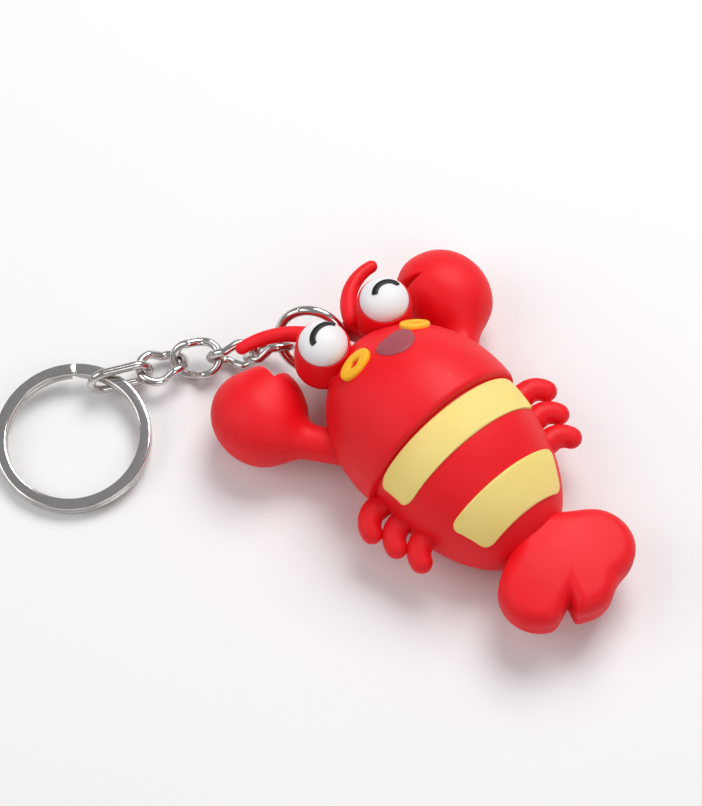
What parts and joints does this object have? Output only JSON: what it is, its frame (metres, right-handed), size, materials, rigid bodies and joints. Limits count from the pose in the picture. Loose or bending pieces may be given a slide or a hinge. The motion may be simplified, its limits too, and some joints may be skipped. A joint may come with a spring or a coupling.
{
  "type": "keychain",
  "caption": "Soft rubber cartoon lobster figure with a rubber lug, a jump ring, a short twisted link chain and a split key ring.",
  "frame": {"origin": "on the flat of the figure's back, under the middle of the body", "axes": "+X across the claws, +Y from the tail to the head, +Z out of the figure's front"},
  "size_m": [0.0803, 0.0901, 0.0248],
  "materials": {
    "red_rubber": "satin soft moulded rubber",
    "yellow_rubber": "satin soft moulded rubber",
    "gold_rubber": "satin soft moulded rubber",
    "mauve_rubber": "satin soft moulded rubber",
    "white_rubber": "satin soft moulded rubber",
    "black_rubber": "satin soft moulded rubber",
    "nickel": "polished nickel plate"
  },
  "bodies": {
    "figure": {"head_front": "red_rubber", "head_back": "red_rubber", "abdomen_front": "red_rubber", "abdomen_back": "red_rubber", "belly_band_upper": "yellow_rubber", "belly_band_lower": "yellow_rubber", "left_claw_front": "red_rubber", "left_claw_back": "red_rubber", "left_leg_1": "red_rubber", "left_leg_2": "red_rubber", "left_leg_3": "red_rubber", "left_eye_stalk": "red_rubber", "left_eye_white": "white_rubber", "left_eyelid_line": "black_rubber", "left_cheek_ring": "gold_rubber", "left_antenna": "red_rubber", "right_claw_front": "red_rubber", "right_claw_back": "red_rubber", "right_leg_1": "red_rubber", "right_leg_2": "red_rubber", "right_leg_3": "red_rubber", "right_eye_stalk": "red_rubber", "right_eye_white": "white_rubber", "right_eyelid_line": "black_rubber", "right_cheek_ring": "gold_rubber", "right_antenna": "red_rubber", "tail_fan_front": "red_rubber", "tail_fan_back": "red_rubber", "mouth": "mauve_rubber", "hanging_lug": "red_rubber"},
    "jump_ring": {"jump_ring": "nickel"},
    "chain_link_1": {"chain_link_1": "nickel"},
    "chain_link_2": {"chain_link_2": "nickel"},
    "chain_link_3": {"chain_link_3": "nickel"},
    "chain_link_4": {"chain_link_4": "nickel"},
    "end_link": {"end_link": "nickel"},
    "split_ring": {"split_ring": "nickel"}
  },
  "joints": [
    {"name": "jump_ring_swing", "type": "hinge", "parent": "figure", "child": "jump_ring", "pos_m": [-0.00034, 0.02869, 0.008], "axis": [0.4096, 0.2868, 0.866], "range_deg": [-25, 6]},
    {"name": "chain_link_1_swing", "type": "hinge", "parent": "jump_ring", "child": "chain_link_1", "pos_m": [-0.00723, 0.03617, 0.00566], "axis": [0.0679, 0.6579, 0.75], "range_deg": [-50, 15]},
    {"name": "chain_link_2_swing", "type": "hinge", "parent": "chain_link_1", "child": "chain_link_2", "pos_m": [-0.01165, 0.03963, 0.00384], "axis": [0.6412, 0.5257, -0.559], "range_deg": [-45, 45]},
    {"name": "chain_link_3_swing", "type": "hinge", "parent": "chain_link_2", "child": "chain_link_3", "pos_m": [-0.01653, 0.04314, 0.00355], "axis": [-0.2038, -0.151, 0.9673], "range_deg": [-45, 35]},
    {"name": "chain_link_4_swing", "type": "hinge", "parent": "chain_link_3", "child": "chain_link_4", "pos_m": [-0.02102, 0.04698, 0.00255], "axis": [-0.3214, -0.5694, -0.7566], "range_deg": [-40, 45]},
    {"name": "end_link_swing", "type": "hinge", "parent": "chain_link_4", "child": "end_link", "pos_m": [-0.02688, 0.04819, 0.00363], "axis": [-0.2564, -0.9664, 0.0173], "range_deg": [-45, 45]},
    {"name": "split_ring_swing", "type": "hinge", "parent": "end_link", "child": "split_ring", "pos_m": [-0.03414, 0.05156, 0.00367], "axis": [0.0513, 0.0726, 0.996], "range_deg": [-60, 10]}
  ]
}
